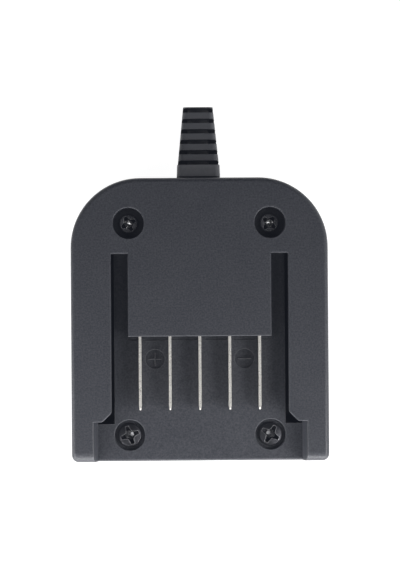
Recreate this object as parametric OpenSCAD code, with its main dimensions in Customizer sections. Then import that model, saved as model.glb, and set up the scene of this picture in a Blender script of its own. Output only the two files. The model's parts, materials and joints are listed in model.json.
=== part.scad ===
// Cradle charger for slide-on power tool batteries, in millimetres.
// +X is right, +Y runs from the mouth where the battery slides in to the cord, +Z is up.
// The origin lies on the surface that the charger stands on, under the middle of its overall box.

/* [Housing] */
// Width of the housing
body_w = 85; // [80:1:100]
// Length of the housing, front edge to rear wall
body_l = 93.8; // [90:0.2:110]
// Height of the top face above the resting surface
body_h = 28; // [27:0.5:34]
// Thickness of the moulded walls
wall = 2.2; // [1.8:0.1:2.5]
// Height of the line where the two shells meet, and of the cord's axis
parting_z = 14.6; // [14:0.1:15.4]
// Radius of the two rear corners
rear_r = 23; // [14:1:26]
// Radius of the two front corners
front_r = 2.5; // [1.5:0.1:4]
// Radius that rolls the top face over into the front wall
nose_r = 3.4; // [2.6:0.2:5]
// Rounding along the top edge
edge_r = 1.5; // [0.8:0.1:2]
// Rounding along the bottom edge
base_r = 1.6; // [0.6:0.1:2]
// Height of the lip that the bottom shell sends up inside the top shell
lip_h = 1.4; // [1:0.1:2]
// Thickness of that lip
lip_t = 0.95; // [0.7:0.05:1.1]

/* [Battery bay] */
// Depth of the bay floor below the top face
bay_depth = 8; // [7.5:0.5:9]
// Plastic between the outermost blade and the side of the central block
block_side = 3.45; // [3.2:0.05:5]
// Front face of the block, from the front edge
block_front = 41.4; // [38:0.2:44]
// Length of the deck between the slots' rear ends and the rear wall
rear_deck = 25; // [23:0.1:29]
// Clear width between the two ledges
rail_gap = 58.5; // [56:0.5:62]
// Thickness of the ledges that hold the battery down
ledge_t = 3; // [2:0.5:4]
// Front end of the ledges, from the front edge
ledge_front = 13.2; // [12.6:0.1:16]
// Chamfer on each ledge's leading corner
ledge_chamfer = 3.1; // [2:0.1:4]
// Rounding where that chamfer runs out into the ledge's edges
ledge_corner_r = 1.7; // [1.5:0.1:2.5]
// Width between the walls of the channels under the ledges
channel_w = 68; // [66:0.5:70]
// How far each horn's inner wall leans outward over the depth of the bay
mouth_draft = 1.4; // [0.5:0.1:2]
// Rounding along the inner top edge of each horn, at the ledges
horn_r = 1; // [0.4:0.1:1.4]
// The same rounding at the front, where it has grown
horn_front_r = 1.6; // [1:0.1:2]
// Cove along the foot of each horn's inner wall
mouth_cove_r = 0.5; // [0.2:0.1:1]
// Rounding along the front edge of the bay floor
apron_r = 0.8; // [0.3:0.1:1.4]
// Margin of the openings in the floor that shape the ledges' undersides
shutoff_step = 0.85; // [0.5:0.05:1.2]
// Chamfer along the top edge of the bay
bay_edge = 0.35; // [0.2:0.05:0.5]
// Width of the shallow step in the floor at the foot of the block
step_w = 1.3; // [0.8:0.1:3]
// Depth of that step
step_depth = 0.3; // [0.1:0.1:0.6]

/* [Terminals] */
// Distance from the middle of one blade terminal to the next
terminal_pitch = 9.9; // [9.4:0.05:10]
// Thickness of a blade
terminal_t = 0.9; // [0.8:0.1:1.2]
// Height of a blade on edge
terminal_h = 4.8; // [3:0.2:5.2]
// Gap between the bay floor and a blade
terminal_lift = 0.4; // [0.3:0.1:0.6]
// Length of blade in front of the block
terminal_reach = 24.4; // [18:0.2:26]
// Length of the thinned blade tip
terminal_taper = 1.6; // [0.8:0.1:3]
// Width of the leg that drops to the circuit board
leg_w = 3; // [2:0.2:4]
// Gap between a blade and the plastic around it
terminal_play = 0.15; // [0.1:0.05:0.25]
// Depth of the carrier behind the block's front wall
carrier_d = 6; // [5:0.5:8]
// Diameter of the polarity marks
mark_d = 6.4; // [5:0.2:7]
// Distance of the polarity marks from the front of the block
mark_inset = 7.5; // [6:0.1:12]
// Length of the bars in the polarity marks
mark_bar_l = 4.4; // [3:0.1:5]
// Width of those bars
mark_bar_w = 0.4; // [0.4:0.05:1]
// Depth of the polarity marks
mark_depth = 0.5; // [0.3:0.1:0.8]

/* [Screws] */
// Distance between the left and right screws
screw_spacing = 46.8; // [45:0.2:47]
// Distance of the upper screws from the rear wall
upper_screw_inset = 14.9; // [13.5:0.1:16]
// Distance of the lower screws from the front edge
lower_screw_inset = 8.7; // [7.8:0.1:9.4]
// Diameter of the upper screw wells
upper_well_d = 10.2; // [8:0.2:11]
// Depth of the upper screw wells
upper_well_depth = 9; // [6:0.5:10]
// Diameter of the lower screw wells
lower_well_d = 10; // [9:0.2:10.6]
// Depth of the lower screw wells
lower_well_depth = 2.2; // [1.8:0.1:2.6]
// Chamfer around the mouth of each screw well
well_rim = 0.3; // [0.1:0.05:0.5]
// Thickness of plastic under each screw head
well_floor = 1.6; // [1.2:0.1:2]
// Head diameter of the upper screws
upper_head_d = 6; // [5:0.1:7]
// Head height of the upper screws
upper_head_h = 2.2; // [1.6:0.1:2.6]
// Head diameter of the lower screws
lower_head_d = 7.8; // [7:0.1:8.4]
// Head height of the lower screws
lower_head_h = 1.8; // [1.4:0.1:2]
// Shank diameter of the housing screws
shank_d = 3; // [2.6:0.1:3.4]
// Length of shank below the head
shank_l = 10; // [7:0.5:11]
// Diameter of the bosses that the housing screws bite into
boss_d = 7.2; // [6:0.2:8]

/* [Strain relief] */
// Length of the strain relief outside the rear wall
relief_l = 23.9; // [18:0.1:30]
// Width across the tip
relief_tip_w = 9.9; // [9.2:0.1:11]
// Width across the collar against the rear wall
relief_base_w = 14.4; // [13:0.1:16]
// Rounding along the four edges
relief_edge_r = 1.8; // [1:0.1:3]
// Length of the collar
collar_l = 4.6; // [3:0.1:6]
// Diameter of the passage for the cord
cable_d = 5.4; // [4.6:0.1:6]
// Rubber left between the cord and the slots
relief_core_t = 0.95; // [0.8:0.05:1.2]
// Width of a slot
slot_w = 1.45; // [1:0.05:1.8]
// Spacing of the slots
slot_pitch = 3.5; // [3:0.05:4]
// Rounding in the corners of a slot
slot_r = 1.1; // [0.3:0.1:1.3]
// Thickness of the webs left along both sides
web_t = 0.8; // [0.5:0.1:1.5]
// Diameter of the neck in the rear wall
neck_d = 9.4; // [8.6:0.1:10.5]
// Diameter of the flange inside the rear wall
flange_d = 13; // [12:0.1:15]
// Thickness of that flange
flange_t = 2; // [1.5:0.1:3]

/* [Feet] */
// Diameter of the rubber feet
foot_d = 9; // [7:0.5:11]
// How far the feet hold the housing off the surface
foot_proud = 1.2; // [0.8:0.1:2]
// Depth of the recess that each foot is glued into
foot_recess = 0.8; // [0.5:0.1:1]
// Distance of the front feet from the sides
foot_side = 11; // [8:0.5:14]
// Distance of the front feet from the front edge
foot_front = 12; // [8:0.5:16]
// Distance of the rear feet from the sides
foot_rear_side = 16; // [14:0.5:20]
// Distance of the rear feet from the rear wall
foot_rear = 15; // [13:0.5:20]

/* [Circuit board] */
// Thickness of the circuit board
board_t = 1.6; // [1.2:0.2:2]
// Height of the posts that carry the board
post_h = 3; // [2.6:0.1:3.4]
// Diameter of those posts
post_d = 6; // [5:0.5:7]
// Gap between the board and the openings under the ledges, so that dirt falls past it
board_side_gap = 0.8; // [0.4:0.1:2]
// Gap between the board and the bosses in front of it and behind it
board_end_gap = 1.1; // [0.8:0.1:3]
// Distance of the board screws from the board's edges
board_screw_inset = 4.5; // [4:0.1:6]
// Shank diameter of the board screws
board_screw_d = 2.2; // [2:0.1:2.5]
// Head diameter of the board screws
board_head_d = 4.6; // [4:0.1:5.4]
// Thickness of the square component leads
lead_t = 0.7; // [0.6:0.05:0.8]
// Length of lead under the board
lead_tail = 1; // [0.6:0.1:1.4]

/* [Electronics] */
// Width of the input header
header_w = 7.6; // [7:0.2:9]
// Height of the input header
header_h = 6.5; // [5:0.5:8]
// Diameter of the input capacitor
input_cap_d = 10; // [8:0.5:11]
// Height of the input capacitor
input_cap_h = 14; // [10:0.5:16]
// Diameter of the output capacitor
output_cap_d = 8; // [6:0.5:9]
// Height of the output capacitor
output_cap_h = 11.5; // [9:0.5:14]
// Diameter of the inductor
inductor_d = 12; // [10:0.5:14]
// Room left above the inductor, under the floor of the bay
inductor_headroom = 1.4; // [1:0.1:3]
// Thickness of the inductor's flanges
inductor_flange_t = 1.4; // [1:0.1:1.8]
// Length of the heat sink's plate
sink_w = 16; // [12:0.5:17]
// Room left above the heat sink, under the roof of the housing
sink_headroom = 2.3; // [1:0.1:4]
// Thickness of the heat sink's plate
sink_t = 2; // [1.5:0.1:2.5]
// Depth of the fins
fin_d = 5; // [3:0.5:5.5]
// Number of fins
fins = 5; // [4:1:6]
// Thickness of a fin
fin_t = 1.2; // [0.8:0.1:1.4]
// Length of the fuse's body
fuse_l = 20; // [15:0.5:22]
// Diameter of the fuse's caps
fuse_d = 5.2; // [4.5:0.1:6]
// Length of each cap
fuse_cap_l = 5; // [4:0.5:6]
// Length of the diode's body
diode_l = 9; // [7:0.5:11]
// Diameter of the diode's body
diode_d = 5.2; // [3:0.2:6]
// Length of the sense resistor's body
resistor_l = 9; // [7:0.5:11]
// Diameter of the sense resistor's body
resistor_d = 3.4; // [2.4:0.2:4.4]

/* [Hidden] */
$fn = 72;

charcoal = [0.26, 0.26, 0.28];
rubber_black = [0.22, 0.22, 0.24];
nickel = [0.78, 0.76, 0.72];
screw_black = [0.08, 0.08, 0.09];
board_green = [0.10, 0.36, 0.20];
ivory = [0.86, 0.84, 0.76];

past = 1;            // how far a cut runs past the face it opens
play = 0.15;         // gap between parts that slide together
seat_gap = 0.3;      // gap between parts that only stay clear of each other
arc_steps = 24;      // points along a quarter of a large corner
small_steps = 6;     // points along a small rounding
chamfer_angle = 45;
upper_turns = [27, 42];  // how far the crosses of the left and right screws stand turned
lower_turns = [15, -26];

// Heights
bay_z = body_h - bay_depth;
roof_z = body_h - wall;
floor_z = foot_proud + wall;
board_z = floor_z + post_h;
board_top = board_z + board_t;
lead_bottom = board_z - lead_tail;
upper_seat_z = body_h - upper_well_depth;
lower_seat_z = bay_z - lower_well_depth;

// Plan positions, measured from the front edge of the housing
front_y = -(body_l + relief_l) / 2;
block_half = 2 * terminal_pitch + terminal_t / 2 + block_side;
slot_end = body_l - rear_deck;
mark_y = block_front - mark_inset;
rail_half = rail_gap / 2;
channel_half = channel_w / 2;
screw_x = screw_spacing / 2;
upper_screw_y = body_l - upper_screw_inset;
lower_screw_y = lower_screw_inset;
tip_y = block_front - terminal_reach;

// Carrier and the legs in it
blade_corner = 0.8;
carrier_front = block_front + wall + seat_gap;
carrier_rear = carrier_front + carrier_d;
carrier_half = block_half - wall - play;
leg_front = carrier_front + (carrier_d - leg_w) / 2;
leg_rear = leg_front + leg_w;
blade_z = bay_z + terminal_lift;
blade_top = blade_z + terminal_h;
pin_w = 1.5;
pin_front = leg_front + (leg_w - pin_w) / 2;

foot_edge = 0.4;

// Circuit board
board_half = rail_half - shutoff_step - board_side_gap;
board_front = lower_screw_y + boss_d / 2 + board_end_gap;
board_rear = upper_screw_y - boss_d / 2 - board_end_gap;
board_holes_at = [for (x = [-1, 1], y = [board_front + board_screw_inset, board_rear - board_screw_inset])
    [x * (board_half - board_screw_inset), y]];

// Strain relief, measured from the rear wall outward
neck_l = wall + play;
groove_l = 0.7;
relief_core_r = cable_d / 2 + relief_core_t;
collar_taper = 0.15;
collar_step = 0.35;
rib_base_half = relief_base_w / 2 - collar_step;
function relief_half(h) =
    rib_base_half + (relief_tip_w / 2 - rib_base_half) * (h - collar_l) / (relief_l - collar_l);

// Parts on the board: the tall ones in a row behind the carrier with the header behind them,
// and the flat ones under the bay
part_gap = 0.8;
row_y = carrier_rear + 1;
output_cap_at = [carrier_half - part_gap - output_cap_d / 2, row_y + output_cap_d / 2];
input_cap_at = [output_cap_at[0] - (output_cap_d + input_cap_d) / 2 - part_gap, row_y + input_cap_d / 2];
header_d = 5.6;
header_wall = 0.8;
header_at = [-2, board_rear - header_d / 2 - part_gap];
inductor_h = bay_z - wall - board_top - inductor_headroom;
sink_h = roof_z - board_top - sink_headroom;
sink_front = row_y + fin_d + 1;
sink_rear = sink_front + sink_t;
sink_x = -carrier_half + sink_w / 2 + 0.5;
transistor_w = 10;
transistor_t = 4.4;
tab_t = 1.3;
transistor_lift = 1.2;
transistor_z = board_top + transistor_lift;
tab_h = sink_h - 0.7;
tab_above_body = 5.8;
sink_screw_d = 3;
sink_screw_head_d = 5.2;
sink_screw_head_h = 1.8;
tab_hole_z = transistor_z + tab_h - 3;
under_bay_y = (board_front + block_front) / 2 + 1;
inductor_at = [18, under_bay_y];
fuse_at = [-13.5, under_bay_y];
chip_l = 9.8;
chip_w = 6.4;
resistor_row = 4.1;  // from the board's front edge to the sense resistor
diode_row = 7;       // from there to the diode
chip_row = 11;       // from there to the chip
resistor_at = [0, board_front + resistor_row];
diode_at = [0, resistor_at[1] + diode_row];
chip_at = [0, diode_at[1] + chip_row];
chip_h = 3.4;
chip_lift = 0.4;
chip_pitch = 2.54;
chip_foot = 0.6;     // how far the chip's legs stand out from its body
can_bead_z = 2.4;    // height of the crimp around a capacitor
can_bead = 0.35;
bell_l = 2;          // length of the sense resistor's thicker ends
bell_edge = 0.8;

function pair(at, span, along_y = false) = [for (s = [-1, 1])
    at + (along_y ? [0, s * span / 2] : [s * span / 2, 0])];
function fuse_leads() = pair(fuse_at, fuse_l + 4, true);
function diode_leads() = pair(diode_at, diode_l + 3);
function resistor_leads() = pair(resistor_at, resistor_l + 3);
function header_leads() = pair(header_at, 3.96);
function input_cap_leads() = pair(input_cap_at, 5);
function output_cap_leads() = pair(output_cap_at, 3.5);
function inductor_leads() = pair(inductor_at, inductor_d - 4);
function transistor_leads() = [for (i = [-1:1]) [sink_x + i * 2.54, sink_rear + tab_t + 1.6]];
function chip_leads() = [for (i = [0:3], s = [-1, 1])
    chip_at + [(i - 1.5) * chip_pitch, s * (chip_w / 2 + chip_foot)]];
all_leads = concat(fuse_leads(), diode_leads(), resistor_leads(), header_leads(), input_cap_leads(),
    output_cap_leads(), inductor_leads(), transistor_leads(), chip_leads());

// ---- helpers ----

// Points of an arc from one angle to another
function arc(centre, r, from, to, steps) = [for (i = [0:steps])
    let (a = from + (to - from) * i / steps) centre + r * [cos(a), sin(a)]];

// The same half outline on the other side, walked backward
function mirrored(points) = [for (i = [len(points) - 1:-1:0]) [-points[i][0], points[i][1]]];

// Right half of the housing's plan, drawn in by an inset
function half_plan(inset) =
    let (fr = max(front_r - inset, 0.2), rr = rear_r - inset, x = body_w / 2 - inset)
    concat(arc([x - fr, inset + fr], fr, -90, 0, small_steps),
        arc([x - rr, body_l - inset - rr], rr, 0, 90, arc_steps));
function plan(inset) = concat(half_plan(inset), mirrored(half_plan(inset)));

// Side view of the housing above the parting line, with the rolled front
function side(inset) =
    let (r = max(nose_r - inset, 0.2))
    concat([[inset, parting_z], [body_l + past, parting_z], [body_l + past, body_h - inset]],
        arc([inset + r, body_h - inset - r], r, 90, 180, arc_steps / 2));

// Closed solid skinned through rings of equal length
module loft(rings) {
    n = len(rings[0]);
    last = len(rings) - 1;
    polyhedron(
        points = [for (ring = rings, p = ring) p],
        faces = concat(
            [[for (i = [0:n - 1]) i]],
            [for (j = [0:last - 1], i = [0:n - 1])
                [j * n + i, (j + 1) * n + i, (j + 1) * n + (i + 1) % n, j * n + (i + 1) % n]],
            [[for (i = [n - 1:-1:0]) last * n + i]]));
}

// Puts a flat outline at a height
function at_z(points, z) = [for (p = points) [p[0], p[1], z]];
function at_x(points, x) = [for (p = points) [x, p[0], p[1]]];

// Moves a piece from the housing's front edge to the shared frame
module placed() translate([0, front_y, 0]) children();

// Turns a shape drawn along +Z to run along +Y from the rear wall, on the cord's axis
module along_cord() translate([0, body_l, parting_z]) rotate([-90, 0, 0]) children();

// Draws an outline of (y, z) points as a plate centred on x
module plate_x(x, t, points)
    translate([x - t / 2, 0, 0]) rotate([90, 0, 90]) linear_extrude(t) polygon(points);

module at_screws(y) for (x = [-screw_x, screw_x]) translate([x, y, 0]) children();

module leads(points, top) for (p = points)
    translate([p[0] - lead_t / 2, p[1] - lead_t / 2, lead_bottom]) cube([lead_t, lead_t, top - lead_bottom]);

// ---- housing ----

// The upper housing as a solid block: rounded top edge, rolled nose
module upper_blank() hull() intersection() {
    loft(concat([at_z(plan(0), parting_z)],
        [for (i = [0:small_steps]) let (a = 90 * i / small_steps)
            at_z(plan(edge_r * (1 - cos(a))), body_h - edge_r * (1 - sin(a)))]));
    loft(concat(
        [for (i = [0:small_steps]) let (a = 90 * i / small_steps)
            at_x(side(edge_r * (1 - sin(a))), -body_w / 2 + edge_r * (1 - cos(a)))],
        [for (i = [small_steps:-1:0]) let (a = 90 * i / small_steps)
            at_x(side(edge_r * (1 - sin(a))), body_w / 2 - edge_r * (1 - cos(a)))]));
}

// The room inside it, one wall in
module upper_room() hull() intersection() {
    translate([0, 0, parting_z - past]) linear_extrude(body_h) polygon(plan(wall));
    plate_x(0, body_w, side(wall));
}

// Outline of a bay that forks round the block
function fork(outer, inner, front, end) = [
    [-outer, -past], [outer, -past], [outer, end], [inner, end], [inner, front],
    [-inner, front], [-inner, end], [-outer, end]];

// Half outline of the bay at the ledges, opened out by a margin
function half_bay(mouth, grow) =
    let (x = rail_half + grow, y = ledge_front + grow, c = ledge_chamfer - (2 - sqrt(2)) * grow,
        r = ledge_corner_r - grow, t = r * tan(chamfer_angle / 2))
    concat([[mouth, -past], [mouth, y]],
        arc([x + c + t, y + r], r, -90, -90 - chamfer_angle, 3),
        arc([x + r, y + c + t], r, -180 + chamfer_angle, -180, 3),
        [[x, slot_end + grow], [block_half - grow, slot_end + grow],
            [block_half - grow, block_front + grow]]);
function bay(mouth, grow) = concat(half_bay(mouth, grow), mirrored(half_bay(mouth, grow)));

// Half of the mouth seen from the front: coved at its foot and opening upward
function half_mouth() = concat(
    arc([channel_half - mouth_cove_r, bay_z + mouth_cove_r], mouth_cove_r, -90, 0, small_steps / 2),
    [[channel_half + mouth_draft * (1 + past / bay_depth), body_h + past]]);

// Plastic that stays around the bay
module bay_backing() translate([0, 0, bay_z - wall]) linear_extrude(body_h)
    polygon(fork(channel_half + wall, block_half - wall, block_front + wall, slot_end + wall));

// Everything the battery's foot sweeps out of the top shell
module bay_cut() {
    translate([0, 0, bay_z]) linear_extrude(bay_depth + past) polygon(bay(channel_half - mouth_cove_r, 0));
    translate([0, 0, bay_z]) linear_extrude(bay_depth - ledge_t)
        polygon(fork(channel_half, block_half, block_front, slot_end));
    translate([0, ledge_front, 0]) rotate([90, 0, 0]) linear_extrude(ledge_front + past)
        polygon(concat(half_mouth(), mirrored(half_mouth())));
    loft([for (grow = [0, 2 * bay_edge])
        at_z(bay(channel_half + mouth_draft + grow, grow), body_h - bay_edge + grow)]);
}

// One cross-section of what the horns' rounding takes away, square to the rolled front:
// y and z are where that section's foot stands and a is how far it leans, 90 being upright
function horn_ring(y, z, a, round) =
    let (at = function (x, r) [x, y - r * cos(a), z + r * sin(a)],
        wall_x = function (r) channel_half + mouth_draft * (z + r * sin(a) - bay_z) / bay_depth,
        low = nose_r - round, high = nose_r + past)
    concat([for (i = [0:small_steps]) let (t = 90 * i / small_steps, r = nose_r - round * (1 - sin(t)))
            at(wall_x(r) + round * (1 - cos(t)), r)],
        [at(wall_x(nose_r) + round, high), at(wall_x(low) - past, high), at(wall_x(low) - past, low)]);

// Rounds the horns' inner edges along the top, down the rolled front and on to the bay floor
module horn_rounding() for (side = [0, 1]) mirror([side, 0, 0]) intersection() {
    roll_z = body_h - nose_r;
    turns = arc_steps / 2;
    loft(concat([horn_ring(ledge_front, roll_z, 90, horn_r), horn_ring(2 * nose_r, roll_z, 90, horn_r)],
        [for (i = [0:turns]) horn_ring(nose_r, roll_z, 90 - 90 * i / turns, horn_front_r)],
        [horn_ring(nose_r, bay_z, 0, horn_front_r)]));
    translate([0, -past, bay_z]) cube([body_w, ledge_front + past, body_h]);
}

// Rounds the front edge of the bay floor
module apron_rounding() plate_x(0, 2 * channel_half, concat(
    [[-past, bay_z - apron_r], [-past, bay_z + past], [apron_r, bay_z + past]],
    arc([apron_r, bay_z - apron_r], apron_r, 90, 180, small_steps)));

// Openings in the floor under the ledges
module shutoffs() for (s = [-1, 1]) {
    w = channel_half - rail_half + shutoff_step;
    translate([s * (channel_half - w / 2) - w / 2, ledge_front - shutoff_step, bay_z - wall - past])
        cube([w, slot_end - ledge_front + shutoff_step, wall + 2 * past]);
}

// Room that the bottom shell's wall takes below the parting line
module lower_wall_room() difference() {
    linear_extrude(parting_z) polygon(plan(-past));
    translate([0, 0, -past]) linear_extrude(body_h) polygon(plan(wall + play));
}

module well_tube(y, d, seat, top) difference() {
    at_screws(y) translate([0, 0, seat - well_floor]) cylinder(d = d + 2 * wall, h = top - seat + well_floor);
    lower_wall_room();
}

module well(y, d, seat, top) at_screws(y) {
    translate([0, 0, seat]) cylinder(d = d, h = body_h);
    translate([0, 0, top - well_rim]) cylinder(d1 = d, d2 = d + 2 * (well_rim + past), h = well_rim + past);
    translate([0, 0, parting_z - past]) cylinder(d = shank_d + 2 * play, h = body_h);
}

// Sunken disc with its sign left standing: one bar, or two crossed
module polarity_mark(x, bars) translate([x, mark_y, bay_z - mark_depth]) difference() {
    cylinder(d = mark_d, h = mark_depth + past);
    for (i = [0:bars - 1]) rotate(90 * i)
        translate([-mark_bar_l / 2, -mark_bar_w / 2, -past])
            cube([mark_bar_l, mark_bar_w, mark_depth + past]);
}

module neck_hole() along_cord() translate([0, 0, -wall - past])
    cylinder(d = neck_d + 2 * play, h = wall + 2 * past);

// Room for the bottom shell's lip inside the top shell
module lip_rebate() translate([0, 0, parting_z - past]) difference() {
    linear_extrude(lip_h + play + past) polygon(plan(wall - lip_t - play));
    translate([0, 0, -past]) linear_extrude(body_h) polygon(plan(wall + play));
}

// Slot that a blade passes through in the block's front wall
module blade_slot() translate([-terminal_t / 2 - terminal_play, 0, -terminal_play])
    cube([terminal_t + 2 * terminal_play, wall + 2 * past, terminal_h + 2 * terminal_play]);

module top_shell() color(charcoal) placed() difference() {
    union() {
        difference() {
            upper_blank();
            difference() {
                upper_room();
                bay_backing();
            }
        }
        well_tube(upper_screw_y, upper_well_d, upper_seat_z, body_h - wall / 2);
        well_tube(lower_screw_y, lower_well_d, lower_seat_z, bay_z - wall / 2);
    }
    bay_cut();
    horn_rounding();
    apron_rounding();
    shutoffs();
    well(upper_screw_y, upper_well_d, upper_seat_z, body_h);
    well(lower_screw_y, lower_well_d, lower_seat_z, bay_z);
    for (i = [-2:2]) translate([i * terminal_pitch, block_front - past, blade_z]) blade_slot();
    polarity_mark(-1.5 * terminal_pitch, 2);
    polarity_mark(1.5 * terminal_pitch, 1);
    translate([-block_half, block_front - step_w, bay_z - step_depth])
        cube([2 * block_half, step_w, step_depth + past]);
    neck_hole();
    lip_rebate();
}

module boss(y, top) at_screws(y)
    translate([0, 0, floor_z - wall / 2]) cylinder(d = boss_d, h = top - floor_z + wall / 2);

module bottom_shell() color(charcoal) placed() difference() {
    union() {
        difference() {
            union() {
                loft(concat(
                    [for (i = [0:small_steps]) let (a = 90 * i / small_steps)
                        at_z(plan(base_r * (1 - sin(a))), foot_proud + base_r * (1 - cos(a)))],
                    [at_z(plan(0), parting_z)]));
                translate([0, 0, floor_z]) linear_extrude(parting_z + lip_h - floor_z)
                    polygon(plan(wall - lip_t));
            }
            translate([0, 0, floor_z]) linear_extrude(body_h) polygon(plan(wall));
        }
        boss(upper_screw_y, upper_seat_z - well_floor);
        boss(lower_screw_y, lower_seat_z - well_floor);
        for (p = board_holes_at)
            translate([p[0], p[1], floor_z - wall / 2]) cylinder(d = post_d, h = post_h + wall / 2);
    }
    for (y = [upper_screw_y, lower_screw_y]) at_screws(y)
        translate([0, 0, floor_z]) cylinder(d = shank_d, h = body_h);
    for (p = board_holes_at) translate([p[0], p[1], floor_z]) cylinder(d = board_screw_d, h = body_h);
    for (p = feet_at) translate([p[0], p[1], foot_proud - past])
        cylinder(d = foot_d + 2 * play, h = foot_recess + past);
    neck_hole();
}

// ---- strain relief ----

// Square outline with rounded corners
function relief_ring(half, h) = at_z([for (q = [0:3]) each
    arc((half - relief_edge_r) * sqrt(2) * [cos(45 + 90 * q), sin(45 + 90 * q)],
        relief_edge_r, 90 * q, 90 * q + 90, small_steps)], h);

module relief_slot(h) {
    r = relief_half(h) + 0.05;
    points = concat([[-r, h], [r, h]],
        arc([r - slot_r, h + slot_w - slot_r], slot_r, 0, 90, 4),
        arc([slot_r - r, h + slot_w - slot_r], slot_r, 90, 180, 4));
    translate([0, web_t / 2, 0]) rotate([-90, 0, 0]) mirror([0, 1, 0])
        linear_extrude(relief_base_w) polygon(points);
}

// Collar and tapered body outside the wall, neck through it and flange inside
module relief_body() {
    loft([relief_ring(relief_base_w / 2 - groove_l, 0), relief_ring(relief_base_w / 2 - groove_l, groove_l),
        relief_ring(relief_base_w / 2, groove_l), relief_ring(relief_base_w / 2 - collar_taper, collar_l),
        relief_ring(rib_base_half, collar_l), relief_ring(relief_tip_w / 2, relief_l)]);
    translate([0, 0, -neck_l - flange_t / 2]) cylinder(d = neck_d, h = neck_l + flange_t);
    translate([0, 0, -neck_l - flange_t]) cylinder(d = flange_d, h = flange_t);
}

module strain_relief() color(rubber_black) placed() along_cord() difference() {
    relief_body();
    translate([0, 0, -neck_l - flange_t - past])
        cylinder(d = cable_d, h = neck_l + flange_t + relief_l + 2 * past);
    difference() {
        for (side = [0, 1]) mirror([0, side, 0])
            for (h = [collar_l + (1 - side) * slot_pitch / 2:slot_pitch:relief_l - slot_w]) relief_slot(h);
        cylinder(r = relief_core_r, h = relief_l + past);
    }
}

// ---- terminals ----

module terminal(place) color(nickel) placed() intersection() {
    plate_x(place * terminal_pitch, terminal_t + 2, [
        [tip_y, blade_z + blade_corner], [tip_y + blade_corner, blade_z],
        [leg_front, blade_z], [leg_front, board_top], [pin_front, board_top], [pin_front, lead_bottom],
        [pin_front + pin_w, lead_bottom], [pin_front + pin_w, board_top], [leg_rear, board_top],
        [leg_rear, blade_top], [tip_y + blade_corner, blade_top], [tip_y, blade_top - blade_corner]]);
    translate([place * terminal_pitch, 0, 0]) linear_extrude(body_h) polygon([
        [-terminal_t / 4, tip_y - past], [terminal_t / 4, tip_y - past], [terminal_t / 4, tip_y],
        [terminal_t / 2, tip_y + terminal_taper], [terminal_t / 2, leg_rear + past],
        [-terminal_t / 2, leg_rear + past], [-terminal_t / 2, tip_y + terminal_taper],
        [-terminal_t / 4, tip_y]]);
}

module terminal_carrier() color(ivory) placed() difference() {
    translate([-carrier_half, carrier_front, board_top])
        cube([2 * carrier_half, carrier_d, blade_top - board_top]);
    for (i = [-2:2]) plate_x(i * terminal_pitch, terminal_t + 2 * terminal_play, [
        [carrier_front - past, blade_z - terminal_play], [leg_front - terminal_play, blade_z - terminal_play],
        [leg_front - terminal_play, board_top - past], [leg_rear + terminal_play, board_top - past],
        [leg_rear + terminal_play, body_h], [carrier_front - past, body_h]]);
}

// ---- screws ----

// Cross recess whose arms widen outward and whose ends slope in toward its bottom
module cross_recess(span, arm_w, depth) translate([0, 0, -depth]) intersection() {
    cylinder(d1 = span * 0.5, d2 = span * 1.2, h = depth * 1.4);
    linear_extrude(depth * 1.4) for (a = [0:90:270]) rotate(a) polygon([
        [-arm_w * 0.4, 0], [arm_w * 0.4, 0], [arm_w * 0.6, span * 0.6], [-arm_w * 0.6, span * 0.6]]);
}

// Domed head with a cross recess, on a plain shank
module screw(seat, head_d, head_h, d, l, turn) translate([0, 0, seat]) {
    dome_r = head_d * 0.9;
    difference() {
        union() {
            intersection() {
                cylinder(d = head_d, h = head_h);
                translate([0, 0, head_h - dome_r]) sphere(r = dome_r);
            }
            translate([0, 0, -l]) cylinder(d = d, h = l + head_h / 2);
        }
        rotate(turn) translate([0, 0, head_h]) cross_recess(head_d * 0.8, head_d * 0.16, head_h * 0.65);
    }
}

module screw_pair(y, seat, head_d, head_h, turns) for (i = [0, 1])
    translate([(2 * i - 1) * screw_x, y, 0]) screw(seat, head_d, head_h, shank_d, shank_l, turns[i]);

module upper_screws() color(screw_black) placed()
    screw_pair(upper_screw_y, upper_seat_z, upper_head_d, upper_head_h, upper_turns);

module lower_screws() color(screw_black) placed()
    screw_pair(lower_screw_y, lower_seat_z, lower_head_d, lower_head_h, lower_turns);

module board_screws() color(nickel) placed()
    for (p = board_holes_at) translate([p[0], p[1], 0])
        screw(board_top, board_head_d, 1.6, board_screw_d, board_t + post_h - 0.4, 10);

// ---- circuit board and what stands on it ----

module circuit_board() color(board_green) placed() difference() {
    translate([-board_half, board_front, board_z]) cube([2 * board_half, board_rear - board_front, board_t]);
    for (p = board_holes_at) translate([p[0], p[1], 0]) cylinder(d = board_screw_d + 2 * play, h = body_h);
    for (p = all_leads) translate([p[0], p[1], 0]) cylinder(d = lead_t * 1.8, h = body_h, $fn = 16);
    for (i = [-2:2]) translate([i * terminal_pitch, pin_front + pin_w / 2, 0])
        cylinder(d = pin_w + terminal_t, h = body_h, $fn = 24);
}

module input_header() color(ivory) placed() {
    leads(header_leads(), board_top + 1);
    translate([header_at[0] - header_w / 2, header_at[1] - header_d / 2, board_top]) difference() {
        cube([header_w, header_d, header_h]);
        translate([header_wall, header_wall, 2])
            cube([header_w - 2 * header_wall, header_d - 2 * header_wall, header_h]);
    }
}

module can(at, d, h, pins) placed() {
    leads(pins, board_top + 1);
    translate([at[0], at[1], board_top]) rotate_extrude() polygon([
        [0, 0], [d / 2, 0], [d / 2, can_bead_z - can_bead], [d / 2 - can_bead, can_bead_z],
        [d / 2, can_bead_z + can_bead], [d / 2, h - can_bead], [d / 2 - can_bead, h], [0, h]]);
}

module input_capacitor() color("midnightblue")
    can(input_cap_at, input_cap_d, input_cap_h, input_cap_leads());
module output_capacitor() color("midnightblue")
    can(output_cap_at, output_cap_d, output_cap_h, output_cap_leads());

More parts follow.
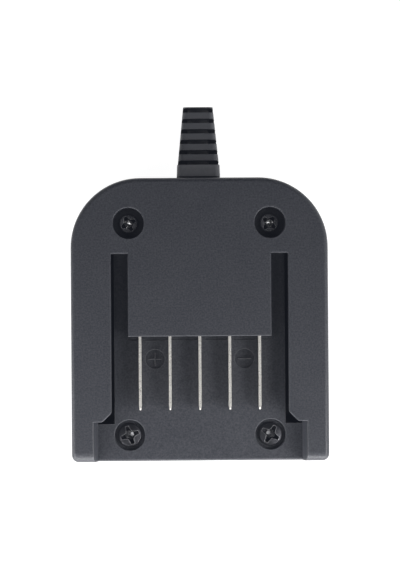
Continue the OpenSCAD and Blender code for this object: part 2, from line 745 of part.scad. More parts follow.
// Round body lying on the board between two bent leads
module axial(at, d, l, pins, along_y) placed() {
    z = board_top + d / 2;
    leads(pins, z + lead_t / 2);
    translate([at[0], at[1], z]) rotate(along_y ? 90 : 0) {
        span = norm(pins[1] - pins[0]);
        translate([-span / 2, -lead_t / 2, -lead_t / 2]) cube([span, lead_t, lead_t]);
        rotate([0, 90, 0]) translate([0, 0, -l / 2]) children();
    }
}

module input_fuse() color(ivory) axial(fuse_at, fuse_d, fuse_l, fuse_leads(), true) {
    cylinder(d = fuse_d - 0.5, h = fuse_l);
    for (z = [0, fuse_l - fuse_cap_l]) translate([0, 0, z]) cylinder(d = fuse_d, h = fuse_cap_l);
}
module rectifier_diode() color(screw_black)
    axial(diode_at, diode_d, diode_l, diode_leads(), false)
    cylinder(d = diode_d, h = diode_l);
module sense_resistor() color("tan")
    axial(resistor_at, resistor_d, resistor_l, resistor_leads(), false)
    rotate_extrude() polygon([[0, 0], [resistor_d * 0.42, 0], [resistor_d / 2, bell_edge],
        [resistor_d / 2, bell_l], [resistor_d * 0.42, bell_l + bell_edge],
        [resistor_d * 0.42, resistor_l - bell_l - bell_edge], [resistor_d / 2, resistor_l - bell_l],
        [resistor_d / 2, resistor_l - bell_edge], [resistor_d * 0.42, resistor_l], [0, resistor_l]]);

module inductor_core() color("dimgray") placed() {
    leads(inductor_leads(), board_top + inductor_flange_t / 2);
    translate([inductor_at[0], inductor_at[1], board_top]) rotate_extrude() polygon([
        [0, 0], [inductor_d / 2, 0], [inductor_d / 2, inductor_flange_t], [inductor_d / 4, inductor_flange_t],
        [inductor_d / 4, inductor_h - inductor_flange_t], [inductor_d / 2, inductor_h - inductor_flange_t],
        [inductor_d / 2, inductor_h], [0, inductor_h]]);
}
module inductor_winding() color("peru") placed()
    translate([inductor_at[0], inductor_at[1], board_top + inductor_flange_t]) rotate_extrude()
        translate([inductor_d / 4 + play / 2, play / 2])
            square([inductor_d / 4 - 0.6, inductor_h - 2 * inductor_flange_t - play]);

module heat_sink() color("silver") placed() difference() {
    translate([sink_x - sink_w / 2, 0, board_top]) linear_extrude(sink_h) {
        translate([0, sink_front]) square([sink_w, sink_t]);
        for (i = [0:fins - 1]) translate([i * (sink_w - fin_t) / (fins - 1), sink_front - fin_d])
            square([fin_t, fin_d + sink_t / 2]);
    }
    translate([sink_x, sink_front - past, tab_hole_z]) rotate([-90, 0, 0])
        cylinder(d = sink_screw_d, h = sink_t + 2 * past);
}

module power_transistor() color(screw_black) placed() difference() {
    union() {
        translate([sink_x - transistor_w / 2, sink_rear, transistor_z]) cube([transistor_w, tab_t, tab_h]);
        translate([sink_x - transistor_w / 2, sink_rear, transistor_z])
            cube([transistor_w, transistor_t, tab_h - tab_above_body]);
        leads(transistor_leads(), transistor_z + 1);
    }
    translate([sink_x, sink_rear - past, tab_hole_z]) rotate([-90, 0, 0])
        cylinder(d = sink_screw_d + 0.6, h = tab_t + 2 * past);
}

module heat_sink_screw() color(nickel) placed()
    translate([sink_x, sink_rear + tab_t, tab_hole_z]) rotate([-90, 0, 0])
        screw(0, sink_screw_head_d, sink_screw_head_h, sink_screw_d, tab_t + sink_t, 45);

module control_chip() color(screw_black) placed() {
    shoulder_z = board_top + chip_lift + chip_h / 3;
    leads(chip_leads(), shoulder_z);
    for (p = chip_leads()) translate([p[0] - lead_t / 2, min(p[1], chip_at[1]), shoulder_z - lead_t / 2])
        cube([lead_t, chip_w / 2 + chip_foot, lead_t / 2]);
    translate([chip_at[0] - chip_l / 2, chip_at[1] - chip_w / 2, board_top + chip_lift])
        cube([chip_l, chip_w, chip_h]);
}

// ---- feet ----

feet_at = [[foot_side - body_w / 2, foot_front], [body_w / 2 - foot_side, foot_front],
    [foot_rear_side - body_w / 2, body_l - foot_rear], [body_w / 2 - foot_rear_side, body_l - foot_rear]];

module foot(i) color(rubber_black) placed() translate([feet_at[i][0], feet_at[i][1], 0])
    rotate_extrude() polygon([[0, 0], [foot_d / 2 - foot_edge, 0], [foot_d / 2, foot_edge],
        [foot_d / 2, foot_proud + foot_recess], [0, foot_proud + foot_recess]]);

top_shell();
bottom_shell();
strain_relief();
terminal(-2);  // positive_terminal
terminal(-1);  // left_sense_terminal
terminal(0);  // middle_terminal
terminal(1);  // right_sense_terminal
terminal(2);  // negative_terminal
terminal_carrier();
upper_screws();
lower_screws();
circuit_board();
board_screws();
input_header();
input_fuse();
input_capacitor();
output_capacitor();
inductor_core();
inductor_winding();
power_transistor();
heat_sink();
heat_sink_screw();
rectifier_diode();
control_chip();
sense_resistor();
foot(0);  // foot_front_left
foot(1);  // foot_front_right
foot(2);  // foot_rear_left
foot(3);  // foot_rear_right
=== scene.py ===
"""Looks of the cradle charger: finishes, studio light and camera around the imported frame, in metres."""
import json
import math
from collections import namedtuple

import bpy
import numpy as np
from mathutils import Matrix, Vector


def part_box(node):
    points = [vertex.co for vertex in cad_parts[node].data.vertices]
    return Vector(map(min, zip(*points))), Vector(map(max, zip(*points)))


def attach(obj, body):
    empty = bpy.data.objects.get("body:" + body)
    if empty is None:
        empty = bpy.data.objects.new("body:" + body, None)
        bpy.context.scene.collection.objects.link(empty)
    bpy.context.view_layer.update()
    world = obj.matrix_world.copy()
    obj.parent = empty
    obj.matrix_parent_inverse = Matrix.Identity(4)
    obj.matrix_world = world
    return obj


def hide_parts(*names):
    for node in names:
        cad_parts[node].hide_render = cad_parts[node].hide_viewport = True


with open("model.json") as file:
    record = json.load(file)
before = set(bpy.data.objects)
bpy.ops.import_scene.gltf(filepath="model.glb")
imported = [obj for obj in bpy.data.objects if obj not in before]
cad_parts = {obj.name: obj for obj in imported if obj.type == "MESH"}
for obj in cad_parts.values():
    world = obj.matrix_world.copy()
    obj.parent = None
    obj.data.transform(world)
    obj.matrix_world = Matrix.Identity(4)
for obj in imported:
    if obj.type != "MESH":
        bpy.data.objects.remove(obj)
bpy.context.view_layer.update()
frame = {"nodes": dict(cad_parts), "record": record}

MM = 0.001
# Faces that turn more than this from each other keep a sharp edge between them.
SMOOTH_LIMIT = math.radians(50)


# ---- shading of the CAD nodes ----

# Decimals that count when normals, distances of planes and places of points are compared.
NORMAL_DIGITS, PLANE_DIGITS, POINT_DIGITS = 3, 5, 7


def plane_areas(normals, centres, areas):
    """The area of all that lies in each face's own plane, so that flat faces outweigh fillets beside them."""
    offsets = np.einsum("ij,ij->i", normals, centres)
    keys = [(*np.round(n, NORMAL_DIGITS), round(d, PLANE_DIGITS)) for n, d in zip(normals, offsets)]
    total = {}
    for key, area in zip(keys, areas):
        total[key] = total.get(key, 0.0) + area
    return np.array([total[key] for key in keys])


def smooth(obj):
    """Gives each corner the mean normal of the faces there that turn less than SMOOTH_LIMIT."""
    mesh = obj.data
    normals = np.array([p.normal for p in mesh.polygons]).reshape(-1, 3)
    centres = np.array([p.center for p in mesh.polygons]).reshape(-1, 3)
    weights = plane_areas(normals, centres, [p.area for p in mesh.polygons])
    corners = {}
    for polygon in mesh.polygons:
        for loop in polygon.loop_indices:
            point = mesh.vertices[mesh.loops[loop].vertex_index].co
            key = tuple(round(c, POINT_DIGITS) for c in point)
            corners.setdefault(key, []).append((loop, polygon.index))
    result = np.zeros((len(mesh.loops), 3))
    least = math.cos(SMOOTH_LIMIT)
    for shared in corners.values():
        faces = np.array([face for _, face in shared])
        near = (normals[faces] @ normals[faces].T) > least
        mean = near @ (normals[faces] * weights[faces, None])
        for (loop, _), normal in zip(shared, mean):
            result[loop] = normal / max(np.linalg.norm(normal), 1e-12)
    mesh.shade_smooth()
    mesh.normals_split_custom_set([tuple(n) for n in result])


# ---- materials ----

# Most of a noise lies between these two values.
NOISE_LOW, NOISE_HIGH = 0.3, 0.7
# Rays for each look around a point.
OCCLUSION_SAMPLES, BEVEL_SAMPLES = 8, 6
# How open the inside of a body still looks right at an outer corner, where it is narrowest.
CORNER_OPENNESS = 0.55
# The more, the less an edge has to turn to count as a full one.
EDGE_GAIN = 3.0
# Sockets of a Mix node in colour mode, whose names aren't unique.
MIX_FACTOR, MIX_A, MIX_B, MIX_RESULT = 0, 6, 7, 2

# How far the strain relief's collar stands out of the housing, and half the width over which its lighter
# painted colour ends.
COLLAR_L = 4.6 * MM
COLLAR_FADE = 0.1 * MM


class Finish:
    """A procedural material under construction. Sizes are in millimetres in the object's own frame."""

    def __init__(self, name, **sockets):
        """Sockets are the shader's values that stay the same all over the surface."""
        self.material = bpy.data.materials.new(name)
        self.material.use_nodes = True
        self.tree = self.material.node_tree
        self.surface = self.tree.nodes["Principled BSDF"]
        self.place = self.node("ShaderNodeTexCoord").outputs["Object"]
        for socket, value in sockets.items():
            self.surface.inputs[socket.replace("_", " ")].default_value = value

    def node(self, kind, inputs=None, **settings):
        """A new node: inputs maps its sockets to values or to the sockets that feed them."""
        made = self.tree.nodes.new(kind)
        for key, value in settings.items():
            setattr(made, key, value)
        for key, value in (inputs or {}).items():
            self.join(value, made.inputs[key])
        return made

    def join(self, value, socket):
        """Links a socket to what feeds it, or sets its value."""
        if isinstance(value, bpy.types.NodeSocket):
            self.tree.links.new(value, socket)
        else:
            socket.default_value = value

    def to(self, socket, value):
        """Feeds one of the shader's own sockets."""
        self.join(value, self.surface.inputs[socket])

    def stretched(self, stretch):
        """Coordinates drawn out along an axis, for streaks and brush marks."""
        return self.node("ShaderNodeMapping", {"Vector": self.place, "Scale": stretch}).outputs["Vector"]

    def part(self, vector, axis):
        """The X, Y or Z of a vector."""
        return self.node("ShaderNodeSeparateXYZ", {"Vector": vector}).outputs[axis]

    def face_normal(self):
        """Where the face itself looks, without smoothing or grain."""
        return self.node("ShaderNodeNewGeometry").outputs["True Normal"]

    def noise(self, size, detail, rough=0.55, at=None):
        """Clouds of a size in mm, with finer layers on them: detail says how many and rough how strong."""
        return self.node("ShaderNodeTexNoise", {
            "Vector": at or self.place, "Scale": 1 / (size * MM), "Detail": detail, "Roughness": rough,
        }).outputs["Fac"]

    def ramp(self, value, low, high, start=0.0, end=1.0):
        """Start where the value is low or less, end where it is high or more, and even between."""
        return self.node("ShaderNodeMapRange", {
            "Value": value, "From Min": low, "From Max": high, "To Min": start, "To Max": end,
        }).outputs["Result"]

    def varied(self, noise, start, end):
        """A noise spread over the range from start to end."""
        return self.ramp(noise, NOISE_LOW, NOISE_HIGH, start, end)

    def math(self, operation, a, b):
        return self.node("ShaderNodeMath", {0: a, 1: b}, operation=operation).outputs["Value"]

    def colour(self, factor, a, b):
        """Colour a where the factor is 0, b where it is 1."""
        made = self.node("ShaderNodeMix", {MIX_FACTOR: factor, MIX_A: a, MIX_B: b}, data_type="RGBA")
        return made.outputs[MIX_RESULT]

    def specks(self, cell, share, size):
        """1 on a few tiny grains, 0 elsewhere: cell is their grid in mm, share how many cells hold one."""
        grid = self.node("ShaderNodeTexVoronoi", {"Vector": self.place, "Scale": 1 / (cell * MM)})
        draw = self.node("ShaderNodeSeparateColor", {"Color": grid.outputs["Color"]}).outputs["Red"]
        chosen = self.math("LESS_THAN", draw, share)
        small = self.math("LESS_THAN", grid.outputs["Distance"], size / cell)
        return self.math("MULTIPLY", chosen, small)

    def occlusion(self, reach, inside=False):
        """The share of rays that meet nothing within reach, outside the body or inside it."""
        return self.node("ShaderNodeAmbientOcclusion", {"Distance": reach * MM},
                         samples=OCCLUSION_SAMPLES, inside=inside).outputs["AO"]

    def shade_openness(self, reach):
        """1 on open faces, less in narrow places, where shade is painted: reach is how far it looks, in mm.
        """
        return self.occlusion(reach)

    def corners(self, reach):
        """Grows toward 1 at outer corners, where a lighter colour is painted as a highlight: reach is how far
        in, in mm.
        """
        return self.ramp(self.occlusion(reach, inside=True), 1.0, CORNER_OPENNESS)

    def measure(self, name):
        """A number that the mesh carries at each point, such as how far inside a recess it lies."""
        return self.node("ShaderNodeAttribute", attribute_name=name).outputs["Fac"]

    def bevelled(self, radius):
        """The surface's normal with its edges rounded off over a radius in mm."""
        return self.node("ShaderNodeBevel", {"Radius": radius * MM}, samples=BEVEL_SAMPLES).outputs["Normal"]

    def edges(self, radius):
        """Grows toward 1 along sharp edges, where handling wears a finish and a lighter colour is painted as
        a highlight.
        """
        agreement = self.node("ShaderNodeVectorMath", {0: self.bevelled(radius), 1: self.face_normal()},
                              operation="DOT_PRODUCT").outputs["Value"]
        return self.ramp(agreement, 1.0, 1.0 - 1.0 / EDGE_GAIN)

    def bump(self, height, depth, strength, below=None):
        """A relief of a depth in mm on top of the normal below it."""
        inputs = {"Height": height, "Distance": depth * MM, "Strength": strength}
        if below is not None:
            inputs["Normal"] = below
        return self.node("ShaderNodeBump", inputs).outputs["Normal"]


def rgb(r, g, b):
    return (r, g, b, 1.0)


def housing_plastic():
    """Charcoal plastic with a fine light grain, soft clouds, a painted highlight on outer corners and a few
    specks.
    """
    f = Finish("housing_plastic", Specular_IOR_Level=0.5)
    body = f.colour(f.noise(26, 3), rgb(0.0245, 0.0262, 0.0335), rgb(0.0325, 0.0345, 0.0420))
    body = f.colour(f.varied(f.noise(0.55, 2), 0.0, 0.74), body, rgb(0.0765, 0.0787, 0.0895))
    # Painted highlight: outer corners are coloured a lighter grey.
    body = f.colour(f.math("MULTIPLY", f.corners(0.35), 0.45), body, rgb(0.140, 0.142, 0.150))
    f.to("Base Color", f.colour(f.specks(7.5, 0.10, 0.16), body, rgb(0.16, 0.16, 0.17)))
    f.to("Roughness", f.varied(f.noise(9, 4), 0.36, 0.45))
    grain = f.bump(f.noise(0.42, 3, 0.6), 0.04, 0.8, f.bevelled(0.15))
    f.to("Normal", f.bump(f.noise(1.6, 2), 0.02, 0.4, grain))
    return f.material


def relief_rubber():
    """Dark rubber beyond a collar painted lighter against the housing's shade on it, with painted shade in
    its slots.
    """
    f = Finish("relief_rubber", Specular_IOR_Level=0.42)
    boot_rubber = f.colour(f.noise(7, 4), rgb(0.0700, 0.0720, 0.0800), rgb(0.0960, 0.0980, 0.1060))
    # Painted light: the collar gets a lighter colour to make up for the housing's shade on it.
    collar = f.colour(f.noise(1.4, 4), rgb(0.150, 0.152, 0.162), rgb(0.205, 0.207, 0.217))
    collar_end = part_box("top_shell")[1].y + COLLAR_L
    beyond = f.ramp(f.part(f.place, "Y"), collar_end - COLLAR_FADE, collar_end + COLLAR_FADE)
    body = f.colour(f.specks(3.0, 0.12, 0.12), f.colour(beyond, collar, boot_rubber), rgb(0.20, 0.20, 0.21))
    # Painted shade: narrow places such as the slots are coloured toward black.
    f.to("Base Color", f.colour(f.ramp(f.shade_openness(1.8), 0.50, 0.85), rgb(0.008, 0.008, 0.009), body))
    f.to("Roughness", f.varied(f.noise(3, 3), 0.50, 0.62))
    f.to("Normal", f.bump(f.noise(0.24, 3), 0.02, 0.5, f.bevelled(0.15)))
    return f.material


def contact_metal():
    """Nickel plate that shines on the rolled sides and is rough and pitted on the sheared edges."""
    f = Finish("contact_metal")
    sheared = f.ramp(f.part(f.face_normal(), "Z"), 0.6, 0.8)
    pits = f.ramp(f.noise(0.5, 4, 0.7), 0.33, 0.47)
    drawn = f.noise(0.3, 2, at=f.stretched((1, 0.15, 1)))
    plate = f.colour(drawn, rgb(0.62, 0.60, 0.56), rgb(0.80, 0.78, 0.74))
    f.to("Base Color", f.colour(pits, rgb(0.34, 0.32, 0.29), plate))
    f.to("Metallic", f.ramp(sheared, 0, 1, 1.0, 0.45))
    f.to("Roughness", f.varied(f.noise(0.8, 3), 0.30, 0.50))
    f.to("Normal", f.bump(pits, 0.05, 0.6, f.bevelled(0.12)))
    return f.material


# The hollow of a recess is painted black as shade. Where the steel is bare it is metallic, and where it is
# polished it shines.
RECESS_SHADE_BLACK = rgb(0.010, 0.010, 0.011)
BARE_METALLIC = 0.85
POLISHED_ROUGH = 0.16


def screw_finish(name, low, high, rough, metallic, edge_wear_and_highlight, polished):
    """Blackened steel, painted black as shade in its recess, lighter along the recess's edges as wear and
    painted highlight, and polished by the driver at its bottom.
    """
    f = Finish(name)
    recess_shade = f.ramp(f.measure("recess"), 0.1, 0.5)
    level = f.ramp(f.part(f.face_normal(), "Z"), 0.93, 0.96)
    bottom = f.math("MULTIPLY", f.measure("floor"), level)
    # Wear and painted highlight: the recess's outline and lip are coloured lighter.
    rim = f.math("MULTIPLY", f.edges(0.18), f.math("SUBTRACT", 1.0, recess_shade))
    wear_and_highlight = f.math("MAXIMUM", rim, f.measure("lip"))
    rubbed_and_highlit = f.math("MULTIPLY", wear_and_highlight, f.ramp(f.noise(0.7, 3), 0.35, 0.65, 0.25, 1.0))
    # Painted shade: the recess is coloured near black.
    body = f.colour(recess_shade, f.colour(f.noise(1.1, 4), low, high), RECESS_SHADE_BLACK)
    body = f.colour(bottom, body, polished)
    f.to("Base Color", f.colour(rubbed_and_highlit, body, edge_wear_and_highlight))
    f.to("Metallic", f.ramp(f.math("MAXIMUM", rubbed_and_highlit, bottom), 0, 1, metallic, BARE_METALLIC))
    uneven = f.varied(f.noise(0.6, 3), rough - 0.06, rough + 0.08)
    f.to("Roughness", f.math("SUBTRACT", uneven, f.math("MULTIPLY", bottom, rough - POLISHED_ROUGH)))
    f.to("Normal", f.bump(f.noise(0.35, 3), 0.012, 0.4, f.bevelled(0.12)))
    return f.material


def glossy_screw():
    return screw_finish(
        "glossy_screw", rgb(0.32, 0.32, 0.34), rgb(0.45, 0.45, 0.47), rough=0.28, metallic=0.60,
        edge_wear_and_highlight=rgb(0.95, 0.95, 0.96), polished=rgb(0.92, 0.92, 0.93))


def matte_screw():
    return screw_finish(
        "matte_screw", rgb(0.056, 0.056, 0.062), rgb(0.088, 0.088, 0.096), rough=0.38, metallic=1.0,
        edge_wear_and_highlight=rgb(0.28, 0.28, 0.29), polished=rgb(0.25, 0.25, 0.26))


def zinc_screw():
    """Zinc plate, blotched light and dark."""
    f = Finish("zinc_screw", Metallic=1.0)
    f.to("Base Color", f.colour(f.noise(0.9, 4), rgb(0.46, 0.47, 0.48), rgb(0.66, 0.66, 0.64)))
    f.to("Roughness", f.varied(f.noise(0.5, 3), 0.24, 0.42))
    f.to("Normal", f.bump(f.noise(0.3, 2), 0.01, 0.5, f.bevelled(0.1)))
    return f.material


def board():
    """Green solder mask that swells over a grid of tracks, on woven glass."""
    f = Finish("board")
    mask = f.colour(f.noise(5, 3), rgb(0.012, 0.085, 0.035), rgb(0.018, 0.12, 0.05))
    glass = f.noise(0.5, 2, at=f.stretched((1, 4, 1)))
    tracks = f.node("ShaderNodeTexBrick", {
        "Vector": f.place, "Color1": rgb(0, 0, 0), "Color2": rgb(0, 0, 0), "Mortar": rgb(1, 1, 1),
        "Scale": 1.0, "Mortar Size": 0.35 * MM, "Brick Width": 9 * MM, "Row Height": 4 * MM}).outputs["Fac"]
    f.to("Base Color", f.colour(tracks, mask, rgb(0.03, 0.18, 0.07)))
    f.to("Roughness", f.varied(glass, 0.28, 0.42))
    f.to("Normal", f.bump(tracks, 0.035, 0.6, f.bevelled(0.1)))
    return f.material


def copper_wire():
    """Enamelled wire, wound in turns that lie on each other."""
    f = Finish("copper_wire", Metallic=0.8, Coat_Weight=0.4)
    turns = f.node("ShaderNodeTexWave", {"Vector": f.place, "Scale": 1 / (3.2 * MM), "Distortion": 0.4},
                   bands_direction="Z").outputs["Fac"]
    f.to("Base Color", f.colour(turns, rgb(0.16, 0.05, 0.018), rgb(0.52, 0.22, 0.09)))
    f.to("Roughness", f.varied(f.noise(0.8, 3), 0.25, 0.4))
    f.to("Normal", f.bump(turns, 0.15, 0.8))
    return f.material


def heat_sink_metal():
    """Extruded aluminium with its draw lines."""
    f = Finish("heat_sink_metal", Metallic=1.0)
    drawn = f.noise(0.35, 3, at=f.stretched((1, 1, 0.08)))
    f.to("Base Color", f.colour(drawn, rgb(0.50, 0.50, 0.52), rgb(0.70, 0.70, 0.72)))
    f.to("Roughness", f.varied(drawn, 0.30, 0.46))
    f.to("Normal", f.bump(drawn, 0.012, 0.6, f.bevelled(0.12)))
    return f.material


def moulded(name, low, high, rough, grain=0.3, depth=0.015):
    """A plain moulded or coated body with soft colour variation and a fine grain."""
    f = Finish(name)
    f.to("Base Color", f.colour(f.noise(3.5, 4), low, high))
    f.to("Roughness", f.varied(f.noise(1.2, 3), rough - 0.05, rough + 0.08))
    f.to("Normal", f.bump(f.noise(grain, 3), depth, 0.5, f.bevelled(0.15)))
    return f.material


def carrier_plastic():
    return moulded("carrier_plastic", rgb(0.60, 0.56, 0.44), rgb(0.70, 0.66, 0.54), rough=0.45)


def fuse():
    return moulded("fuse", rgb(0.62, 0.60, 0.54), rgb(0.72, 0.70, 0.64), rough=0.3, grain=0.5, depth=0.01)


def capacitor_sleeve():
    return moulded("capacitor_sleeve", rgb(0.008, 0.012, 0.040), rgb(0.014, 0.02, 0.06),
                   rough=0.25, grain=0.6, depth=0.02)


def ferrite():
    return moulded("ferrite", rgb(0.022, 0.022, 0.024), rgb(0.05, 0.05, 0.052),
                   rough=0.6, grain=0.25, depth=0.03)


def component_black():
    return moulded("component_black", rgb(0.008, 0.008, 0.009), rgb(0.02, 0.02, 0.021),
                   rough=0.5, grain=0.2, depth=0.02)


def resistor_body():
    return moulded("resistor_body", rgb(0.42, 0.28, 0.15), rgb(0.52, 0.36, 0.21), rough=0.4, grain=0.4)


def foot_rubber():
    return moulded("foot_rubber", rgb(0.008, 0.008, 0.009), rgb(0.018, 0.018, 0.019), rough=0.62, depth=0.03)


# Each function makes the record's material slot of its own name.
FINISHES = [housing_plastic, relief_rubber, contact_metal, glossy_screw, matte_screw, zinc_screw, board,
            copper_wire, heat_sink_metal, carrier_plastic, fuse, capacitor_sleeve, ferrite, component_black,
            resistor_body, foot_rubber]


def dress_nodes():
    """Smooths every CAD node and gives it the finish of its slot. Returns the finishes by slot."""
    finishes = {make.__name__: make() for make in FINISHES}
    for part in frame["record"]["subparts"]:
        obj = frame["nodes"][part["node"]]
        obj.data.materials.clear()
        obj.data.materials.append(finishes[part["material_slot"]])
        smooth(obj)
    return finishes


# ---- screws with a pressed cross recess ----

# half_span: from the middle to an arm's end. arm: its width there. deep: depth in the middle. All in metres.
# flare: how much wider an arm is in the middle, as a share of its width.
Recess = namedtuple("Recess", "half_span arm flare deep")

SHANK_R = 1.5 * MM
UPPER_HEAD_H, LOWER_HEAD_H = 2.2 * MM, 1.8 * MM
UPPER_RECESS = Recess(half_span=2.6 * MM, arm=1.05 * MM, flare=3.4, deep=1.6 * MM)
LOWER_RECESS = Recess(half_span=3.1 * MM, arm=1.15 * MM, flare=1.7, deep=1.5 * MM)
# Angles at which the crosses of the left and the right screw stand, in degrees.
UPPER_TURNS, LOWER_TURNS = (27, 49), (19, -30)

# The head's rounded rim and the fall of its dome, as shares of its radius and its height.
RIM_SHARE, DOME_SHARE = 0.14, 0.22
# Points in a ring, rings on the dome and on the rim, the smallest ring's radius, and the rim's first angle.
HEAD_STEPS, DOME_RINGS, RIM_RINGS = 192, 60, 7
FIRST_R = 0.02 * MM
RIM_START = 0.15

# The recess's floor rises gently from its middle, and then more steeply toward the end of an arm. The depth
# at the end, and what an arm's whole length would add to it on the way back, are shares of the full depth.
BOTTOM_SLOPE = 0.2
END_DEPTH, END_RISE = 0.3, 1.2
# Width of the wall between outline and floor, and the rounding of an arm's end as a share of its width.
WALL_W = 0.20 * MM
END_ROUND = 0.3
# The pressed-up lip: its place outside the recess, its width and its height.
LIP_AT, LIP_W, LIP_H = 0.09 * MM, 0.10 * MM, 0.04 * MM
# The floor's mark starts inside the outline and ends part of the way out along an arm, with soft edges.
FLOOR_START, FLOOR_START_FADE = 0.30 * MM, 0.10 * MM
FLOOR_END, FLOOR_END_FADE = 0.5, 0.1


def blend_min(a, b, k):
    """The smaller of two distances, with the crease between them rounded over k."""
    h = np.clip(0.5 + 0.5 * (b - a) / k, 0, 1)
    return b + (a - b) * h - k * h * (1 - h)


def turned(x, y, angle):
    """The same points, as seen from axes that stand at an angle in radians."""
    c, s = math.cos(angle), math.sin(angle)
    return c * x + s * y, c * y - s * x


def recess_shape(x, y, recess):
    """How far a cross recess lies below the dome at each point, in metres, and three marks from 0 to 1.

    The marks say whether a point is in the recess, on its floor, and on the lip around it.
    """
    along, across = np.maximum(abs(x), abs(y)), np.minimum(abs(x), abs(y))
    outward = np.clip(along / recess.half_span, 0, 1)
    beside = across - recess.arm / 2 * (1 + recess.flare * (1 - outward) ** 2)
    outside = -blend_min(-beside, recess.half_span - np.hypot(x, y), recess.arm * END_ROUND)
    within = np.clip(-outside / WALL_W, 0, 1)
    depth = np.minimum(recess.deep - BOTTOM_SLOPE * along,
                       recess.deep * (END_DEPTH + END_RISE * (1 - outward)))
    lip = np.exp(-((outside - LIP_AT) / LIP_W) ** 2)
    central = np.clip((FLOOR_END - outward) / FLOOR_END_FADE, 0, 1)
    floor = central * np.clip((-outside - FLOOR_START) / FLOOR_START_FADE, 0, 1)
    eased = depth * within * within * (3 - 2 * within)
    return eased - LIP_H * lip, (within, floor, lip)


def screw_rings(radius, height, length, recess, turn):
    """Rings of points from the middle of the dome over the rim and down the shank to its end.

    Each ring is the arrays x, y and z, and the three marks of recess_shape.
    """
    around = 2 * math.pi * np.arange(HEAD_STEPS) / HEAD_STEPS
    rim = radius * RIM_SHARE
    dome_drop = height * DOME_SHARE
    level, plain = np.ones(HEAD_STEPS), [np.zeros(HEAD_STEPS)] * 3
    rings = []
    for r in np.linspace(FIRST_R, radius - rim, DOME_RINGS):
        x, y = r * np.cos(around), r * np.sin(around)
        drop = dome_drop * (r / (radius - rim)) ** 2
        depth, marks = recess_shape(*turned(x, y, turn), recess)
        rings.append((x, y, -drop - depth, marks))
    for a in np.linspace(RIM_START, math.pi / 2, RIM_RINGS):
        r = radius - rim + rim * math.sin(a)
        z = -level * (dome_drop + rim * (1 - math.cos(a)))
        rings.append((r * np.cos(around), r * np.sin(around), z, plain))
    for r, z in ((radius, -height), (SHANK_R, -height), (SHANK_R, -height - length + SHANK_R / 2),
                 (SHANK_R / 2, -height - length)):
        rings.append((r * np.cos(around), r * np.sin(around), level * z, plain))
    return rings


def ring_faces(first, rings):
    """The faces between rings of points that are numbered from first, and one across each end."""
    faces = []
    for ring in range(rings - 1):
        a = first + ring * HEAD_STEPS
        b = a + HEAD_STEPS
        for i in range(HEAD_STEPS):
            after = (i + 1) % HEAD_STEPS
            faces.append((a + i, b + i, b + after, a + after))
    last = first + (rings - 1) * HEAD_STEPS
    faces.append([first + i for i in range(HEAD_STEPS)])
    faces.append([last + i for i in reversed(range(HEAD_STEPS))])
    return faces


def add_screws(node, name, head_h, recess, turns):
    """Stands for a node of two screws: same places and sizes, with a recess that narrows as it deepens."""
    low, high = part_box(node)
    radius = (high.y - low.y) / 2
    middle_y = (high.y + low.y) / 2
    length = high.z - low.z - head_h
    points, faces, measures = [], [], {"recess": [], "floor": [], "lip": []}
    for x, turn in zip((low.x + radius, high.x - radius), turns):
        rings = screw_rings(radius, head_h, length, recess, math.radians(turn))
        faces += ring_faces(len(points), len(rings))
        for rx, ry, rz, marks in rings:
            points += [(x + a, middle_y + b, high.z + c) for a, b, c in zip(rx, ry, rz)]
            for values, mark in zip(measures.values(), marks):
                values += mark.tolist()
    mesh = bpy.data.meshes.new(name)
    mesh.from_pydata(points, [], faces)
    for key, values in measures.items():
        mesh.attributes.new(key, "FLOAT", "POINT").data.foreach_set("value", values)
    mesh.shade_smooth()
    mesh.set_sharp_from_angle(angle=SMOOTH_LIMIT)
    obj = bpy.data.objects.new(name, mesh)
    bpy.context.scene.collection.objects.link(obj)
    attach(obj, "root")
    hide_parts(node)
    return obj


def dress_screws(finishes):
    upper = add_screws("upper_screws", "upper_screw_pair", UPPER_HEAD_H, UPPER_RECESS, UPPER_TURNS)
    lower = add_screws("lower_screws", "lower_screw_pair", LOWER_HEAD_H, LOWER_RECESS, LOWER_TURNS)
    for obj, slot in ((upper, "glossy_screw"), (lower, "matte_screw")):
        obj.data.materials.append(finishes[slot])


# ---- studio ----

# A little off the middle above the charger, turned slightly, with the lens in millimetres.
CAMERA_PLACE = (-13.18 * MM, -13.79 * MM, 927 * MM)
CAMERA_TARGET = (0.154 * MM, -0.54 * MM, 27 * MM)
PICTURE_UP = (0.00735, 1, 0)
LENS = 172.2
NEAREST, FARTHEST = 0.01, 20

# What most lamps are aimed at: the middle of the charger, as high as its bay.
BAY_MIDDLE = (0, 0, 0.02)
# What counts as up when a lamp is turned toward its target: upward, and a little to the rear.
LAMP_UP = (0, 0.2, 1)

FLOOR_R, FLOOR_SIDES, FLOOR_GLOW = 4, 96, 0.95

# The surroundings' brightness on each side, and how far a direction leans that way where it starts and ends.
RIGHT_GLOW, LEFT_GLOW = 0.90, 0.34
GLOW_START, GLOW_FULL = 0.30, 0.70

# Negative black levels lift the darkest tones, blue the most.
VEIL = (-0.0066, -0.0076, -0.0106)


def look_from(obj, place, target, up):
    """Puts a camera or light at a place, facing the target, with up toward the top of its picture."""
    back = (Vector(place) - Vector(target)).normalized()
    right = Vector(up).cross(back).normalized()
    turn = Matrix((right, back.cross(right), back)).transposed()
    obj.matrix_world = Matrix.Translation(place) @ turn.to_4x4()


def add_camera():
    camera = bpy.data.objects.new("camera", bpy.data.cameras.new("camera"))
    bpy.context.scene.collection.objects.link(camera)
    camera.data.lens = LENS
    camera.data.clip_start = NEAREST
    camera.data.clip_end = FARTHEST
    look_from(camera, CAMERA_PLACE, CAMERA_TARGET, PICTURE_UP)
    bpy.context.scene.camera = camera


def add_softbox(name, place, target, width, height, brightness):
    """A rectangular area light that faces a target and doesn't show itself."""
    light = bpy.data.lights.new(name, "AREA")
    light.shape = "RECTANGLE"
    light.size = width
    light.size_y = height
    light.energy = brightness * math.pi * width * height
    obj = bpy.data.objects.new(name, light)
    obj.visible_camera = False
    bpy.context.scene.collection.objects.link(obj)
    look_from(obj, place, target, LAMP_UP)


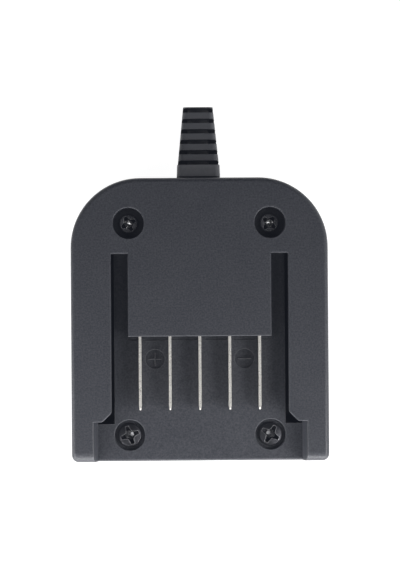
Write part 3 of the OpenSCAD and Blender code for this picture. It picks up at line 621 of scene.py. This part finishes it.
def add_lamps():
    """Low cards and lamps at the front and both sides, and two overhead that the screws' recesses mirror."""
    add_softbox("front_card", (0, -0.22, 0.055), BAY_MIDDLE, 0.40, 0.05, 9.5)
    add_softbox("front_lamp", (0, -0.20, 0.16), BAY_MIDDLE, 0.16, 0.06, 1.2)
    add_softbox("left_lamp", (-0.125, -0.135, 0.10), BAY_MIDDLE, 0.12, 0.06, 7.4)
    add_softbox("left_card", (-0.17, -0.07, 0.075), (0, -0.07, 0.02), 0.08, 0.05, 4.8)
    add_softbox("right_lamp", (0.16, -0.12, 0.17), (0, -0.12, 0.02), 0.12, 0.08, 9.6)
    add_softbox("left_overhead", (-0.28, -0.13, 0.90), BAY_MIDDLE, 0.20, 0.13, 2.3)
    add_softbox("right_overhead", (0.205, -0.20, 0.90), BAY_MIDDLE, 0.20, 0.13, 2.3)


def add_floor():
    """A pale table that glows a little, as a lit product table does."""
    bpy.ops.mesh.primitive_circle_add(
        vertices=FLOOR_SIDES, radius=FLOOR_R, fill_type="NGON", location=(0, 0, 0))
    floor = bpy.context.object
    floor.name = "floor"
    f = Finish("floor", Roughness=0.9, Specular_IOR_Level=0.1,
               Emission_Color=rgb(1, 1, 1), Emission_Strength=FLOOR_GLOW)
    f.to("Base Color", f.colour(f.noise(60, 2), rgb(0.34, 0.34, 0.34), rgb(0.38, 0.38, 0.38)))
    floor.data.materials.append(f.material)


def add_world():
    """Soft white surroundings: dark overhead, where the camera hangs, and bright toward the two sides."""
    world = bpy.data.worlds.new("studio")
    bpy.context.scene.world = world
    world.use_nodes = True
    tree = world.node_tree
    sky = tree.nodes["Background"]
    direction = tree.nodes.new("ShaderNodeTexCoord").outputs["Generated"]

    def glow(side, brightness):
        """Brightness that grows as a direction leans toward one side."""
        toward = tree.nodes.new("ShaderNodeVectorMath")
        toward.operation = "DOT_PRODUCT"
        tree.links.new(direction, toward.inputs[0])
        toward.inputs[1].default_value = side
        ramp = tree.nodes.new("ShaderNodeMapRange")
        tree.links.new(toward.outputs["Value"], ramp.inputs["Value"])
        limits = {"From Min": GLOW_START, "From Max": GLOW_FULL, "To Min": 0.0, "To Max": brightness}
        for name, value in limits.items():
            ramp.inputs[name].default_value = value
        return ramp.outputs["Result"]

    both = tree.nodes.new("ShaderNodeMath")
    both.operation = "ADD"
    tree.links.new(glow((1, 0, 0), RIGHT_GLOW), both.inputs[0])
    tree.links.new(glow((-1, 0, 0), LEFT_GLOW), both.inputs[1])
    tree.links.new(both.outputs["Value"], sky.inputs["Strength"])
    sky.inputs["Color"].default_value = rgb(0.97, 0.98, 1.0)


def add_tone():
    """Plain tones, with the faint veil that a bright background lays over the darkest ones."""
    view = bpy.context.scene.view_settings
    view.view_transform = "Standard"
    view.use_curve_mapping = True
    view.curve_mapping.black_level = VEIL
    view.curve_mapping.update()


add_camera()
dress_screws(dress_nodes())
add_floor()
add_world()
add_lamps()
add_tone()
